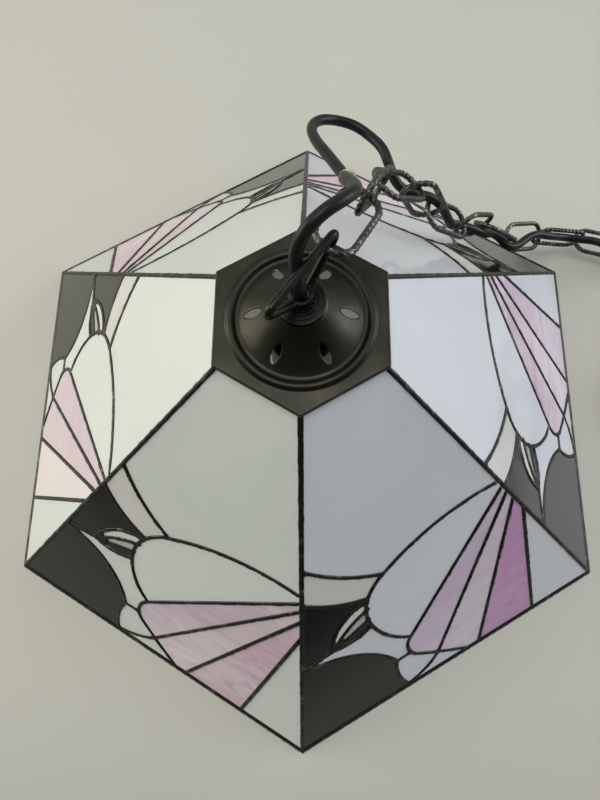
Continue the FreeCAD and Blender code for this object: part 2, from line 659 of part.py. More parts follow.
def plain_link():
    """One oval link at the origin, its length along X and lying flat in XY."""
    bow_r = (LINK_WIDTH - LINK_WIRE) / 2
    half = (LINK_PITCH + LINK_WIRE + LINK_CLEARANCE) / 2 - bow_r
    wire_r = LINK_WIRE / 2
    pieces = []
    for side in (-1, 1):
        pieces.append(Part.makeCylinder(wire_r, 2 * half, V(-half, side * bow_r, 0), V(1, 0, 0)))
        ring = Part.Face(Part.Wire(Part.makeCircle(wire_r, V(side * half, bow_r, 0), V(1, 0, 0))))
        pieces.append(ring.revolve(V(side * half, 0, 0), V(0, 0, -side), 180))
    return pieces[0].multiFuse(pieces[1:]).removeSplitter()


def chain_joints():
    """The hooked points of the chain, one pitch apart, each towards the next guide."""
    joints = [V(*CHAIN_GUIDES[0])]
    for guide in CHAIN_GUIDES[1:]:
        joints.append(joints[-1] + (V(*guide) - joints[-1]).normalize() * LINK_PITCH)
    return joints


def chain_links():
    links = []
    joints = chain_joints()
    for start, end, roll in zip(joints, joints[1:], LINK_ROLLS_DEG):
        along = (end - start).normalize()
        level = UP.cross(along).normalize()
        rise = along.cross(level)
        a = math.radians(roll)
        across = level * math.cos(a) + rise * math.sin(a)
        face = along.cross(across)
        middle = (start + end) * 0.5
        link = plain_link()
        link.Placement = FreeCAD.Placement(FreeCAD.Matrix(
            along.x, across.x, face.x, middle.x,
            along.y, across.y, face.y, middle.y,
            along.z, across.z, face.z, middle.z,
            0, 0, 0, 1))
        links.append(link)
    for k in range(FIRST_FREE_LINK, len(links)):
        hook = LINK_ROLLS_DEG[k] == 0
        parent = k - 1 if hook else k
        along = (joints[parent + 1] - joints[parent]).normalize()
        reach = (LINK_WIRE + LINK_CLEARANCE) / 2
        pivot = joints[k] + along * (reach if hook else -reach)
        print("hinge of link", k + 1, [round(c, 2) for c in pivot])
    return links


def coil_ring(grow, first_deg, sweep_deg):
    """A ring, or part of one, round the coil's middle: the coil's section, grown by a margin."""
    low_r = COIL_INNER_R - grow
    high_r = COIL_OUTER_R + grow
    low_z = TIE_SHEET - grow
    high_z = TIE_SHEET + COIL_LAYERS * FLEX_D + grow
    c = FLEX_D / 2 + grow
    k = c * (1 - math.sqrt(0.5))
    outline = [
        Part.LineSegment(V(low_r + c, 0, low_z), V(high_r - c, 0, low_z)),
        Part.Arc(V(high_r - c, 0, low_z), V(high_r - k, 0, low_z + k), V(high_r, 0, low_z + c)),
        Part.LineSegment(V(high_r, 0, low_z + c), V(high_r, 0, high_z - c)),
        Part.Arc(V(high_r, 0, high_z - c), V(high_r - k, 0, high_z - k), V(high_r - c, 0, high_z)),
        Part.LineSegment(V(high_r - c, 0, high_z), V(low_r + c, 0, high_z)),
        Part.Arc(V(low_r + c, 0, high_z), V(low_r + k, 0, high_z - k), V(low_r, 0, high_z - c)),
        Part.LineSegment(V(low_r, 0, high_z - c), V(low_r, 0, low_z + c)),
        Part.Arc(V(low_r, 0, low_z + c), V(low_r + k, 0, low_z + k), V(low_r + c, 0, low_z)),
    ]
    ring = Part.Face(Part.Wire([edge.toShape() for edge in outline])).revolve(CENTRE, UP, sweep_deg)
    ring.rotate(CENTRE, UP, first_deg)
    ring.translate(V(COIL_CENTRE[0], COIL_CENTRE[1], 0))
    return ring


def make_flex():
    """The free flex: its route, its put-away coil, the coil's tie, the bare end and the tape."""
    route = [V(0, 0, FLEX_EXIT_Z)] + [V(*p) for p in FLEX_ROUTE]
    tail = [V(*p) for p in FLEX_TAIL]
    radii = route_radii(route)
    print("flex radii", [round(r, 1) for r in radii])
    path = filleted_wire(route, radii)
    tail_path = filleted_wire(tail, route_radii(tail))
    flex = swept(path, FLEX_D / 2)
    flex_tail = swept(tail_path, FLEX_D / 2)
    coil = coil_ring(0, 0, 360).cut(flex).cut(flex_tail)
    tie = coil_ring(TIE_SHEET, TIE_FROM_DEG, TIE_SWEEP_DEG)
    tie = tie.cut(coil_ring(0, TIE_FROM_DEG, TIE_SWEEP_DEG))
    turn = math.pi * (COIL_INNER_R + COIL_OUTER_R)
    print("flex run", round(path.Length), "tail", round(tail_path.Length), "a coil turn", round(turn))
    before = route[TAPE_AFTER_POINT]
    after = route[TAPE_AFTER_POINT + 1]
    along = (after - before).normalize()
    start = (before + after) * 0.5 - along * (TAPE_LENGTH / 2)
    tape = Part.makeCylinder(TAPE_D / 2, TAPE_LENGTH, start, along).cut(flex)
    ahead = (tail[-1] - tail[-2]).normalize()
    side = UP.cross(ahead).normalize()
    cores = []
    for a in core_angles():
        offset = side * (CORE_SPREAD * math.cos(a)) + ahead.cross(side) * (CORE_SPREAD * math.sin(a))
        cores.append(Part.makeCylinder(CORE_D / 2, BARE_LENGTH, tail[-1] + offset, ahead))
    return flex, coil, tie, flex_tail, tape, cores


def build():
    os.makedirs("parts", exist_ok=True)
    panes, webs = make_panels()
    for name, pane in panes.items():
        export(name, [turned(solid, k) for k in range(SIDES) for solid in pane])
    export("panel_seams", [turned(solid, k) for k in range(SIDES) for solid in webs])
    ridge = ridge_seam()
    export("ridge_seams", [turned(ridge, k) for k in range(SIDES)])
    export("rim_came", [rim_came()])
    export("crown_band", shade_band(CROWN_BASE_Z, CROWN_TOP_Z))
    export("vase_cap", [vase_cap()])
    export("check_ring", [tube(CHECK_RING_R, NIPPLE_R + NIPPLE_CLEARANCE, NECK_TOP_Z, CHECK_TOP_Z)])
    export("lock_washer", [lock_washer()])
    export("threaded_nipple", [tube(NIPPLE_R, NIPPLE_BORE_R, HOLDER_TOP_Z, NIPPLE_TOP_Z)])
    export("shade_wheel", [shade_wheel()])
    export("wheel_washer", [tube(WASHER_R, NIPPLE_R + NIPPLE_CLEARANCE, WASHER_Z, WHEEL_Z)])
    export("clamp_nut", [clamp_nut()])
    export("hanging_loop", [hanging_loop()])
    export("holder_cap", [holder_cap()])
    export("grub_screw", [grub_screw_space()])
    export("holder_skirt", [holder_skirt()])
    export("insulator", [insulator()])
    export("threaded_shell", [threaded_shell()])
    export("centre_contact", [centre_contact()])
    export("side_contact", [side_contact()])
    export("terminal_screws", terminal_screws())
    export("core_wires", core_wires())
    inner_flex = Part.makeCylinder(FLEX_D / 2, FLEX_EXIT_Z - FLEX_CUT_Z, V(0, 0, FLEX_CUT_Z))
    export("flex_in_nipple", [inner_flex])
    for k, link in enumerate(chain_links()):
        export("chain_link_%02d" % (k + 1), [link])
    flex, coil, tie, flex_tail, tape, cores = make_flex()
    export("pendant_flex", [flex])
    export("flex_coil", [coil])
    export("coil_tie", [tie])
    export("flex_tail", [flex_tail])
    export("tape_wrap", [tape])
    export("core_ends", cores)


build()
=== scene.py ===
import bpy
import json
import math
import numpy as np
from mathutils import Matrix, Vector

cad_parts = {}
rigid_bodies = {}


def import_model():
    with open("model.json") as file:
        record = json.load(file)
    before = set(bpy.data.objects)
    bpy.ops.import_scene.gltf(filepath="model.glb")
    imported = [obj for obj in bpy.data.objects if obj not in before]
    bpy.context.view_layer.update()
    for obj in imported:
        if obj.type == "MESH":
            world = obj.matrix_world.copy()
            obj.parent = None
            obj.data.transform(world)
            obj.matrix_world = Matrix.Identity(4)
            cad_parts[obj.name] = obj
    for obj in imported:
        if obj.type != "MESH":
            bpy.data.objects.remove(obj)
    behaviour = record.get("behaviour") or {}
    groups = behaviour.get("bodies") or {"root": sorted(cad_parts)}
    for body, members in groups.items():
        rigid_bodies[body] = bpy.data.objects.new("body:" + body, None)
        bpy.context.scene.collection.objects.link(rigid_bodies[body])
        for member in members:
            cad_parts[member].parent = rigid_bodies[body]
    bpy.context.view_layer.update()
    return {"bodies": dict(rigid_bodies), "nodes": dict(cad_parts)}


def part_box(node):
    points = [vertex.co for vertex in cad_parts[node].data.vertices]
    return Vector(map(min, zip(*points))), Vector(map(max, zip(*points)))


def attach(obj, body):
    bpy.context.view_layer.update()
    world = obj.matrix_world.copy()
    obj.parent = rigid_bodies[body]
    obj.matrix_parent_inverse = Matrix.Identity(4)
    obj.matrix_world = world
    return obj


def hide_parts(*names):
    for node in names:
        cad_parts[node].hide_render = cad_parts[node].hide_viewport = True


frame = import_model()
nodes = frame["nodes"]
scene = bpy.context.scene
mm = 0.001
touching = 0.00001  # points this near are one
print("frame loaded", len(nodes), "nodes")


cameraSettings = {
    "lens": 25.65,
    "elevation": 75.0,
    "azimuth": 4.7,
    "roll": -4.26,
    "distance": 0.528,
    "target": (-0.005, 0.010, 0.0),
    "nearest": 0.01,
}


def makeCamera(s):
    el, az, roll = (math.radians(s[k]) for k in ("elevation", "azimuth", "roll"))
    back = Vector((math.sin(az) * math.cos(el), -math.cos(az) * math.cos(el), math.sin(el)))
    right = Vector((0, 0, 1)).cross(back).normalized()
    up = back.cross(right)
    across = right * math.cos(roll) + up * math.sin(roll)
    upward = up * math.cos(roll) - right * math.sin(roll)
    camera = bpy.data.objects.new("camera", bpy.data.cameras.new("camera"))
    camera.data.lens = s["lens"]
    camera.data.clip_start = s["nearest"]
    turn = Matrix((across, upward, back)).transposed().to_4x4()
    camera.matrix_world = Matrix.Translation(Vector(s["target"]) + back * s["distance"]) @ turn
    scene.collection.objects.link(camera)
    scene.camera = camera


makeCamera(cameraSettings)


def deselectAll():
    if bpy.context.object and bpy.context.object.mode != "OBJECT":
        bpy.ops.object.mode_set(mode="OBJECT")
    bpy.ops.object.select_all(action="DESELECT")


def pick(obj):
    deselectAll()
    obj.select_set(True)
    bpy.context.view_layer.objects.active = obj


def editAll(piece):
    # opens a piece in edit mode with all of it selected
    pick(piece)
    bpy.ops.object.mode_set(mode="EDIT")
    bpy.ops.mesh.select_all(action="SELECT")


def applyModifiers(obj):
    pick(obj)
    for name in [m.name for m in obj.modifiers]:
        bpy.ops.object.modifier_apply(modifier=name)


def newPiece(name):
    piece = bpy.context.object
    piece.name = name
    piece.data.name = name
    return piece


def copyNode(node, name):
    # a merged copy of a CAD node's mesh, for a piece that replaces it
    piece = bpy.data.objects.new(name, nodes[node].data.copy())
    piece.data.name = name
    piece.data.materials.clear()
    scene.collection.objects.link(piece)
    editAll(piece)
    bpy.ops.mesh.remove_doubles(threshold=touching)
    bpy.ops.mesh.customdata_custom_splitnormals_clear()
    bpy.ops.object.mode_set(mode="OBJECT")
    return piece


def closePiece(piece, reach, degrees):
    # merges a piece's doubles, turns its faces outwards and smooths all but its sharp edges
    editAll(piece)
    bpy.ops.mesh.remove_doubles(threshold=reach)
    bpy.ops.mesh.normals_make_consistent(inside=False)
    bpy.ops.object.mode_set(mode="OBJECT")
    bpy.ops.object.shade_smooth_by_angle(angle=math.radians(degrees))


def newCurve(name, kind, points):
    # a line through points in metres
    data = bpy.data.curves.new(name, "CURVE")
    data.dimensions = "3D"
    spline = data.splines.new(kind)
    spline.points.add(len(points) - 1)
    for point, place in zip(spline.points, points):
        point.co = (*place, 1.0)
    curve = bpy.data.objects.new(name, data)
    scene.collection.objects.link(curve)
    return curve


def finishPiece(piece, body, finish, slot, *replaced):
    piece.data.materials.clear()
    piece.data.materials.append(finishes[finish])
    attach(piece, body)
    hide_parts(*replaced)


def paint(material, *names):
    # gives CAD nodes a material, in place of the plain one they came with
    for name in names:
        obj = nodes[name]
        if not obj.data.materials:
            obj.data.materials.append(material)
        for k in range(len(obj.material_slots)):
            obj.material_slots[k].material = material


def feed(tree, socket, value):
    # links a socket to another's output, or gives it a number or colour of its own
    if isinstance(value, bpy.types.NodeSocket):
        tree.links.new(value, socket)
    elif socket.type == "RGBA":
        socket.default_value = (*value, 1.0)
    else:
        socket.default_value = value


def addNode(tree, kind, **values):
    # a value whose name starts with in_ feeds the socket of that name; the others are the node's own
    node = tree.nodes.new(kind)
    for key, value in values.items():
        if key.startswith("in_"):
            feed(tree, node.inputs[key[3:].replace("_", " ")], value)
        else:
            setattr(node, key, value)
    return node


def objectPlace(tree):
    return tree.nodes.new("ShaderNodeTexCoord").outputs["Object"]


def softStep(tree, value, low, high):
    # 0 below low and 1 above high, smooth between
    step = addNode(tree, "ShaderNodeMapRange", interpolation_type="SMOOTHSTEP",
                   in_Value=value, in_From_Min=low, in_From_Max=high)
    return step.outputs["Result"]


def mathNode(tree, operation, *values):
    node = addNode(tree, "ShaderNodeMath", operation=operation)
    for socket, value in zip(node.inputs, values):
        feed(tree, socket, value)
    return node.outputs[0]


def mixColours(tree, mask, a, b, amount=1.0):
    mix = addNode(tree, "ShaderNodeMix", data_type="RGBA")
    for name, value in (("A", a), ("B", b)):
        feed(tree, [s for s in mix.inputs if s.name == name and s.type == "RGBA"][0], value)
    if amount != 1.0:
        mask = mathNode(tree, "MULTIPLY", mask, amount)
    feed(tree, mix.inputs["Factor"], mask)
    return [s for s in mix.outputs if s.type == "RGBA"][0]


def startGroup(name, inputs, outputs):
    group = bpy.data.node_groups.new(name, "ShaderNodeTree")
    for socketName, kind, value in inputs:
        socket = group.interface.new_socket(socketName, in_out="INPUT", socket_type=kind)
        socket.default_value = value
    for socketName, kind in outputs:
        group.interface.new_socket(socketName, in_out="OUTPUT", socket_type=kind)
    given = group.nodes.new("NodeGroupInput")
    return group, given.outputs, group.nodes.new("NodeGroupOutput").inputs


def panelTurn(tree):
    # the place on the panel at +X that matches a place on any, and the panel's number, from -3 to 3
    place = objectPlace(tree)
    split = addNode(tree, "ShaderNodeSeparateXYZ", in_Vector=place)
    angle = mathNode(tree, "ARCTAN2", split.outputs["Y"], split.outputs["X"])
    number = mathNode(tree, "ROUND", mathNode(tree, "DIVIDE", angle, math.pi / 3))
    turn = mathNode(tree, "MULTIPLY", number, -math.pi / 3)
    rotate = addNode(tree, "ShaderNodeVectorRotate", rotation_type="Z_AXIS", in_Vector=place, in_Angle=turn)
    return rotate.outputs[0], number


def cloudGroup():
    # soft streaked clouding of rolled sheet glass, 0 to 1, alike on each panel, and the panel's number
    group, given, out = startGroup(
        "sheetClouds",
        [
            ("Scale", "NodeSocketFloat", 20.0),
            ("Stretch", "NodeSocketVector", (1, 1, 1)),
            ("Twist", "NodeSocketFloat", 0.6),
            ("Low", "NodeSocketFloat", 0.35),
            ("High", "NodeSocketFloat", 0.65),
        ],
        [("Mask", "NodeSocketFloat"), ("Panel", "NodeSocketFloat")],
    )
    place, number = panelTurn(group)
    stretch = addNode(group, "ShaderNodeVectorMath", operation="MULTIPLY")
    feed(group, stretch.inputs[0], place)
    feed(group, stretch.inputs[1], given["Stretch"])
    noise = addNode(group, "ShaderNodeTexNoise", in_Vector=stretch.outputs[0], in_Scale=given["Scale"],
                    in_Distortion=given["Twist"], in_Detail=5.0, in_Roughness=0.55)
    feed(group, out["Mask"], softStep(group, noise.outputs["Fac"], given["Low"], given["High"]))
    feed(group, out["Panel"], number)
    return group


def rippleGroup():
    # the slow ripple of rolled glass, as a height
    group, given, out = startGroup(
        "glassRipple",
        [("Scale", "NodeSocketFloat", 26.0), ("Detail", "NodeSocketFloat", 1.5)],
        [("Height", "NodeSocketFloat")],
    )
    noise = addNode(group, "ShaderNodeTexNoise", in_Vector=objectPlace(group), in_Scale=given["Scale"],
                    in_Detail=given["Detail"])
    feed(group, out["Height"], noise.outputs["Fac"])
    return group


def wearGroup():
    # scattered marks and rubbed patches, 0 to 1, and a fine grain for bump
    group, given, out = startGroup(
        "surfaceWear",
        [
            ("Patch Scale", "NodeSocketFloat", 60.0),
            ("Grain Scale", "NodeSocketFloat", 900.0),
            ("Low", "NodeSocketFloat", 0.45),
            ("High", "NodeSocketFloat", 0.7),
        ],
        [("Mask", "NodeSocketFloat"), ("Grain", "NodeSocketFloat")],
    )
    place = objectPlace(group)
    patch = addNode(group, "ShaderNodeTexNoise", in_Vector=place, in_Scale=given["Patch Scale"],
                    in_Detail=6.0, in_Roughness=0.62, in_Distortion=0.4)
    grain = addNode(group, "ShaderNodeTexNoise", in_Vector=place, in_Scale=given["Grain Scale"],
                    in_Detail=3.0, in_Roughness=0.6)
    feed(group, out["Mask"], softStep(group, patch.outputs["Fac"], given["Low"], given["High"]))
    feed(group, out["Grain"], grain.outputs["Fac"])
    return group


def edgeGroup():
    # lightens crests and edges, 0 to 1: real rubbed wear on the cap, painted glints on the solder lumps
    group, given, out = startGroup(
        "edgeWearAndGlint",
        [("Low", "NodeSocketFloat", 0.52), ("High", "NodeSocketFloat", 0.61)],
        [("Mask", "NodeSocketFloat")],
    )
    shape = group.nodes.new("ShaderNodeNewGeometry")
    feed(group, out["Mask"], softStep(group, shape.outputs["Pointiness"], given["Low"], given["High"]))
    return group


sheetClouds = cloudGroup()
glassRipple = rippleGroup()
surfaceWear = wearGroup()
edgeWearAndGlint = edgeGroup()
print("shared effects made", len(bpy.data.node_groups))


def startMaterial(name, **values):
    material = bpy.data.materials.new(name)
    material.use_nodes = True
    tree = material.node_tree
    shader = tree.nodes["Principled BSDF"]
    for key, value in values.items():
        shader.inputs[key.replace("_", " ")].default_value = value
    return material, tree, shader


def useGroup(tree, group, **values):
    node = addNode(tree, "ShaderNodeGroup", node_tree=group)
    for key, value in values.items():
        feed(tree, node.inputs[key.replace("_", " ")], value)
    return node


def addBump(tree, shader, height, distance):
    bump = addNode(tree, "ShaderNodeBump", in_Height=height, in_Distance=distance)
    feed(tree, shader.inputs["Normal"], bump.outputs["Normal"])


glassFinish = {
    "waveScale": 26.0,
    "waveDetail": 1.5,
    "waveDepth": 0.00022,
    "streakScale": 3.2,
    "streakTwist": 1.4,
    "streakLow": 0.42,
    "streakHigh": 0.72,
}


def sheetGlass(name, base, cloud, cloudAmount, streak=None, streakAmount=0.0, scale=14.0, stretch=(1, 1, 1),
               low=0.35, high=0.65, roughness=0.09, ior=1.52, through=0.0, byPanel=()):
    material, tree, shader = startMaterial(name, Roughness=roughness, IOR=ior)
    clouds = useGroup(tree, sheetClouds, Scale=scale, Stretch=stretch, Low=low, High=high)
    colour = mixColours(tree, clouds.outputs["Mask"], base, cloud, cloudAmount)
    if streak:
        fine = useGroup(tree, sheetClouds, Scale=scale * glassFinish["streakScale"], Stretch=stretch,
                        Twist=glassFinish["streakTwist"], Low=glassFinish["streakLow"],
                        High=glassFinish["streakHigh"])
        colour = mixColours(tree, fine.outputs["Mask"], colour, streak, streakAmount)
    for panel, tone, amount in byPanel:
        # one panel gets a tone of its own for the side it faces, which on the white and black glass is painted
        # light and reflection; panel 3, on -X, is numbered -3 on its other half
        number = clouds.outputs["Panel"]
        if panel == 3:
            number = mathNode(tree, "ABSOLUTE", number)
        colour = mixColours(tree, mathNode(tree, "COMPARE", number, panel, 0.5), colour, tone, amount)
    feed(tree, shader.inputs["Base Color"], colour)
    if through:
        # opal glass passes some light to its other side
        glow = addNode(tree, "ShaderNodeBsdfTranslucent", in_Color=colour)
        body = addNode(tree, "ShaderNodeMixShader", in_Fac=through)
        feed(tree, body.inputs[1], shader.outputs["BSDF"])
        feed(tree, body.inputs[2], glow.outputs["BSDF"])
        feed(tree, tree.nodes["Material Output"].inputs["Surface"], body.outputs["Shader"])
    ripple = useGroup(tree, glassRipple, Scale=glassFinish["waveScale"], Detail=glassFinish["waveDetail"])
    addBump(tree, shader, ripple.outputs["Height"], glassFinish["waveDepth"])
    return material


edgeFinish = {"width": 0.09, "amount": 0.8}


def wornMetal(name, base, worn, wornAmount, roughness, wornRoughness, metallic, patch, grain=900.0,
              bump=0.00006, low=0.45, high=0.7, edge=None, edgeFrom=0.515):
    material, tree, shader = startMaterial(name, Metallic=metallic)
    wear = useGroup(tree, surfaceWear, Patch_Scale=patch, Grain_Scale=grain, Low=low, High=high)
    colour = mixColours(tree, wear.outputs["Mask"], base, worn, wornAmount)
    if edge:
        crest = useGroup(tree, edgeWearAndGlint, Low=edgeFrom, High=edgeFrom + edgeFinish["width"])
        colour = mixColours(tree, crest.outputs["Mask"], colour, edge, edgeFinish["amount"])
    feed(tree, shader.inputs["Base Color"], colour)
    spread = addNode(tree, "ShaderNodeMapRange", in_Value=wear.outputs["Mask"],
                     in_To_Min=roughness, in_To_Max=wornRoughness)
    feed(tree, shader.inputs["Roughness"], spread.outputs["Result"])
    addBump(tree, shader, wear.outputs["Grain"], bump)
    return material


skinFinish = {"patch": 140.0, "grain": 1500.0, "low": 0.4, "high": 0.7, "bump": 0.00002}


def plainSkin(name, colour, second, roughness, specular=0.5):
    material, tree, shader = startMaterial(name, Roughness=roughness, Specular_IOR_Level=specular)
    wear = useGroup(tree, surfaceWear, Patch_Scale=skinFinish["patch"], Grain_Scale=skinFinish["grain"],
                    Low=skinFinish["low"], High=skinFinish["high"])
    feed(tree, shader.inputs["Base Color"], mixColours(tree, wear.outputs["Mask"], colour, second))
    addBump(tree, shader, wear.outputs["Grain"], skinFinish["bump"])
    return material


opalThrough = 0.28
rayStretch = (0.5, 0.35, 1.6)
# painted light and shade on the white glass: a panel, the tone that the light falling on its side gives it, and
# how much of it
paintedPanelLight = (
    (-2, (0.80, 0.85, 0.76), 0.45),
    (3, (0.86, 0.89, 0.80), 0.45),
    (2, (0.72, 0.74, 0.66), 0.5),
    (-1, (0.77, 0.79, 0.85), 0.45),
    (0, (0.80, 0.82, 0.89), 0.45),
    (1, (0.66, 0.68, 0.70), 0.5),
)
glassSheets = {
    "opalWhiteGlass": {
        "nodes": ("crown_pane", "corner_pane", "stem_pane", "oval_pane", "rim_sliver_pane"),
        "base": (0.73, 0.76, 0.77), "cloud": (0.81, 0.83, 0.84), "cloudAmount": 0.6,
        "streak": (0.83, 0.83, 0.84), "streakAmount": 0.25,
        "through": opalThrough, "byPanel": paintedPanelLight,
    },
    "wingWhiteGlass": {
        "nodes": ("wing_pane",),
        "base": (0.78, 0.81, 0.81), "cloud": (0.84, 0.85, 0.86), "cloudAmount": 0.6,
        "streak": (0.85, 0.85, 0.87), "streakAmount": 0.25, "scale": 16.0,
        "through": opalThrough, "byPanel": paintedPanelLight,
    },
    "stripBeigeGlass": {
        "nodes": ("strip_pane",),
        "base": (0.76, 0.75, 0.71), "cloud": (0.81, 0.79, 0.77), "cloudAmount": 0.7,
        "streak": (0.72, 0.69, 0.66), "streakAmount": 0.3, "scale": 22.0,
        "through": opalThrough,
    },
    "leafGreyGlass": {
        "nodes": ("outer_leaf_pane",),
        "base": (0.58, 0.58, 0.53), "cloud": (0.68, 0.68, 0.63), "cloudAmount": 0.6,
        "streak": (0.48, 0.48, 0.44), "streakAmount": 0.3, "scale": 40.0,
    },
    "leafInnerGlass": {
        "nodes": ("inner_leaf_pane",),
        "base": (0.36, 0.37, 0.33), "cloud": (0.46, 0.47, 0.43), "cloudAmount": 0.6, "scale": 40.0,
    },
    "rayPaleGlass": {
        "nodes": ("ray_1_pane",),
        "base": (0.55, 0.44, 0.52), "cloud": (0.66, 0.60, 0.66), "cloudAmount": 0.85,
        "streak": (0.52, 0.32, 0.44), "streakAmount": 0.6,
        "scale": 18.0, "stretch": rayStretch, "low": 0.35, "high": 0.62,
        "byPanel": (
            (3, (0.60, 0.48, 0.54), 0.6), (-1, (0.50, 0.42, 0.58), 0.35), (1, (0.50, 0.44, 0.44), 0.5),
        ),
    },
    "rayRoseGlass": {
        "nodes": ("ray_2_pane",),
        "base": (0.60, 0.50, 0.54), "cloud": (0.68, 0.63, 0.65), "cloudAmount": 0.8,
        "streak": (0.52, 0.32, 0.42), "streakAmount": 0.55,
        "scale": 18.0, "stretch": rayStretch, "low": 0.38, "high": 0.62,
        "byPanel": (
            (3, (0.60, 0.46, 0.53), 0.6), (-1, (0.54, 0.48, 0.62), 0.35), (2, (0.52, 0.44, 0.43), 0.5),
        ),
    },
    "rayDeepRoseGlass": {
        "nodes": ("ray_3_pane",),
        "base": (0.57, 0.42, 0.50), "cloud": (0.65, 0.58, 0.62), "cloudAmount": 0.7,
        "streak": (0.48, 0.25, 0.38), "streakAmount": 0.6,
        "scale": 18.0, "stretch": rayStretch, "low": 0.40, "high": 0.66,
        "byPanel": (
            (3, (0.71, 0.66, 0.65), 0.8), (-1, (0.42, 0.17, 0.40), 0.65), (0, (0.58, 0.55, 0.64), 0.4),
        ),
    },
    "opaqueBlackGlass": {
        "nodes": ("upper_black_pane", "lower_black_pane", "leaf_base_pane"),
        "base": (0.003, 0.003, 0.003), "cloud": (0.006, 0.006, 0.005), "cloudAmount": 0.6,
        "scale": 12.0, "roughness": 0.10, "ior": 1.44,
        # the right pane's black glass, and less so the left's, is painted grey for the window light it reflects
        "byPanel": ((0, (0.065, 0.066, 0.067), 1.0), (3, (0.02, 0.02, 0.018), 1.0)),
    },
}
metals = {
    "blackPatinaSolder": {
        "nodes": ("panel_seams", "ridge_seams", "rim_came", "crown_band"),
        # the pale grey patches on the leading are partly real rubbed patina and partly painted glints; the pale
        # edge colour is a painted glint along the crests of the solder lumps
        "base": (0.032, 0.032, 0.029), "worn": (0.24, 0.23, 0.20), "wornAmount": 0.6,
        "roughness": 0.38, "wornRoughness": 0.28, "metallic": 0.88,
        "patch": 95.0, "grain": 700.0, "bump": 0.0001, "low": 0.52, "high": 0.74,
        "edge": (0.42, 0.41, 0.37), "edgeFrom": 0.545,
    },
    "capDarkBronze": {
        "nodes": ("vase_cap", "check_ring", "shade_wheel"),
        "base": (0.025, 0.024, 0.018), "worn": (0.044, 0.041, 0.030), "wornAmount": 0.7,
        "roughness": 0.40, "wornRoughness": 0.32, "metallic": 0.85,
        "patch": 38.0, "grain": 1300.0, "bump": 0.00003, "low": 0.4, "high": 0.72,
        "edge": (0.26, 0.25, 0.20),
    },
    "loopDarkBronze": {
        "nodes": ("hanging_loop", "lock_washer"),
        "base": (0.014, 0.014, 0.013), "worn": (0.05, 0.047, 0.038), "wornAmount": 0.6,
        "roughness": 0.34, "wornRoughness": 0.26, "metallic": 0.85,
        "patch": 90.0, "grain": 1300.0, "bump": 0.00003,
    },
    "chainDarkSteel": {
        "nodes": ["chain_link_%02d" % (k + 1) for k in range(14)],
        "base": (0.050, 0.050, 0.046), "worn": (0.17, 0.165, 0.14), "wornAmount": 0.7,
        "roughness": 0.42, "wornRoughness": 0.3, "metallic": 0.8,
        "patch": 130.0, "low": 0.42, "high": 0.66,
    },
    "zincPlatedSteel": {
        "nodes": ("threaded_nipple", "wheel_washer", "clamp_nut", "grub_screw", "terminal_screws"),
        "base": (0.40, 0.39, 0.36), "worn": (0.24, 0.23, 0.21), "wornAmount": 0.6,
        "roughness": 0.34, "wornRoughness": 0.238, "metallic": 0.95, "patch": 160.0,
    },
    "shellBrass": {
        "nodes": ("threaded_shell", "centre_contact", "side_contact"),
        "base": (0.55, 0.40, 0.17), "worn": (0.42, 0.29, 0.12), "wornAmount": 0.6,
        "roughness": 0.25, "wornRoughness": 0.175, "metallic": 1.0, "patch": 160.0,
    },
}
skins = {
    "flexBlackSkin": {
        "nodes": ("pendant_flex", "flex_coil", "flex_tail", "flex_in_nipple"),
        "colour": (0.008, 0.008, 0.008), "second": (0.012, 0.012, 0.012), "roughness": 0.36, "specular": 0.2,
    },
    "holderBlackSkin": {
        "nodes": ("holder_cap", "holder_skirt"),
        "colour": (0.012, 0.012, 0.012), "second": (0.02, 0.02, 0.019), "roughness": 0.32,
    },
    "holderCeramic": {
        "nodes": ("insulator",),
        "colour": (0.62, 0.60, 0.55), "second": (0.56, 0.53, 0.47), "roughness": 0.22,
    },
    "coreInsulation": {
        "nodes": ("core_wires", "core_ends"),
        "colour": (0.12, 0.06, 0.03), "second": (0.16, 0.09, 0.05), "roughness": 0.35,
    },
    "tieBlackBand": {
        "nodes": ("coil_tie",),
        "colour": (0.012, 0.012, 0.012), "second": (0.02, 0.02, 0.02), "roughness": 0.4,
    },
    "agedClearTape": {
        "nodes": ("tape_wrap",),
        "colour": (0.46, 0.44, 0.35), "second": (0.30, 0.28, 0.22), "roughness": 0.13,
    },
}
finishes = {}
for makeFinish, rows in ((sheetGlass, glassSheets), (wornMetal, metals), (plainSkin, skins)):
    for name, look in rows.items():
        painted = look.pop("nodes")
        finishes[name] = makeFinish(name, **look)
        paint(finishes[name], *painted)
print("materials made", len(bpy.data.materials))


stageSettings = {
    "floorSize": 8.0,
    "floorColour": (0.475, 0.465, 0.412),
    "floorCloud": (1.03, 1.03, 1.04),
    "cloudScale": 3.0,
    "cloudRange": (0.3, 0.75),
    "floorRoughness": 0.65,
    "shadeColour": (0.10, 0.10, 0.085),
    "shadeFrom": -0.72,
    "shadeTo": -0.17,
    "frontColour": (0.15, 0.15, 0.145),
    "backColour": (0.86, 0.86, 0.86),
    "frontToBack": (-0.75, 0.35),
    "leftTint": (1.0, 1.0, 0.90),
    "rightTint": (0.93, 0.95, 1.04),
    "leftToRight": (-0.6, 0.6),
    "skyStrength": 0.67,
}
lightSettings = [
    # name, place, size, power, colour
    ("leftWindow", (-2.4, 0.55, 1.05), 1.8, 43.0, (1.0, 0.99, 0.86)),
    ("rightWindow", (2.4, 0.6, 0.95), 1.7, 34.0, (0.90, 0.94, 1.0)),
    ("backSoft", (0.1, 2.4, 1.8), 1.8, 3.0, (1.0, 0.99, 0.97)),
    ("underShade", (0, 0, 0.12), 0.2, 0.11, (1.0, 1.0, 0.97)),
    ("overhead", (-0.2, 0.1, 2.6), 1.6, 23.0, (1.0, 1.0, 0.98)),
]


